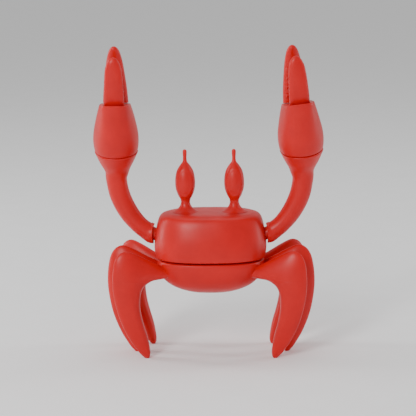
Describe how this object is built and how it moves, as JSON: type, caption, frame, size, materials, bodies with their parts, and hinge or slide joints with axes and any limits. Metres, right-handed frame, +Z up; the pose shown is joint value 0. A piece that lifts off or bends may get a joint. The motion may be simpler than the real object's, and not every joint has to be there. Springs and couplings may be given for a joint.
{
  "type": "crab utensil rest",
  "caption": "Red silicone crab with raised pincer claws that hold a spoon's handle, a sprung mouth that grips a pot's rim, and legs to stand on.",
  "frame": {"origin": "centre of the bounding box's footprint, on the plane that the feet stand on", "axes": "+Z up through the raised claws, -Y the way the crab faces, +X to the right as seen from in front"},
  "size_m": [0.0899, 0.0388, 0.1242],
  "materials": {
    "red_silicone": "satin silicone rubber, one red all through",
    "pin_steel": "drawn stainless steel wire"
  },
  "bodies": {
    "base": {"belly": "red_silicone", "hinge_pin": "pin_steel", "closing_spring": "pin_steel", "leg_front_left": "red_silicone", "leg_front_right": "red_silicone", "leg_middle_left": "red_silicone", "leg_middle_right": "red_silicone", "leg_rear_left": "red_silicone", "leg_rear_right": "red_silicone"},
    "shell": {"carapace": "red_silicone", "palate": "red_silicone", "eye_left": "red_silicone", "eye_right": "red_silicone"},
    "arm_left": {"arm_left": "red_silicone"},
    "claw_left": {"palm_left": "red_silicone", "rear_finger_left": "red_silicone", "pincer_pin_left": "pin_steel"},
    "pincer_left": {"front_finger_left": "red_silicone"},
    "arm_right": {"arm_right": "red_silicone"},
    "claw_right": {"palm_right": "red_silicone", "rear_finger_right": "red_silicone", "pincer_pin_right": "pin_steel"},
    "pincer_right": {"front_finger_right": "red_silicone"}
  },
  "joints": [
    {"name": "mouth_opening", "type": "hinge", "parent": "base", "child": "shell", "pos_m": [0, 0.0166, 0.0388], "axis": [-1, 0, 0], "range_deg": [0, 20], "stiffness_Nm_per_rad": 0.02, "springref_deg": -34.38},
    {"name": "shoulder_swing_left", "type": "hinge", "parent": "shell", "child": "arm_left", "pos_m": [-0.0204, 0, 0.0474], "axis": [1, 0, 0], "range_deg": [-20, 20]},
    {"name": "claw_turn_left", "type": "hinge", "parent": "arm_left", "child": "claw_left", "pos_m": [-0.0363, -0.004, 0.0826], "axis": [0.0235, -0.2756, 0.961], "range_deg": [-32.5, 27.5]},
    {"name": "pincer_opening_left", "type": "hinge", "parent": "claw_left", "child": "pincer_left", "pos_m": [-0.03564, -0.01448, 0.10029], "axis": [0.999, 0.0419, -0.0124], "range_deg": [0, 14], "stiffness_Nm_per_rad": 0.002, "springref_deg": -28.65},
    {"name": "shoulder_swing_right", "type": "hinge", "parent": "shell", "child": "arm_right", "pos_m": [0.0204, 0, 0.0474], "axis": [1, 0, 0], "range_deg": [-20, 20]},
    {"name": "claw_turn_right", "type": "hinge", "parent": "arm_right", "child": "claw_right", "pos_m": [0.0363, -0.004, 0.0826], "axis": [-0.0754, -0.2756, 0.9583], "range_deg": [-37.5, 22.5]},
    {"name": "pincer_opening_right", "type": "hinge", "parent": "claw_right", "child": "pincer_right", "pos_m": [0.03559, -0.01444, 0.10031], "axis": [0.9856, 0.1255, 0.1137], "range_deg": [0, 14], "stiffness_Nm_per_rad": 0.002, "springref_deg": -28.65}
  ]
}
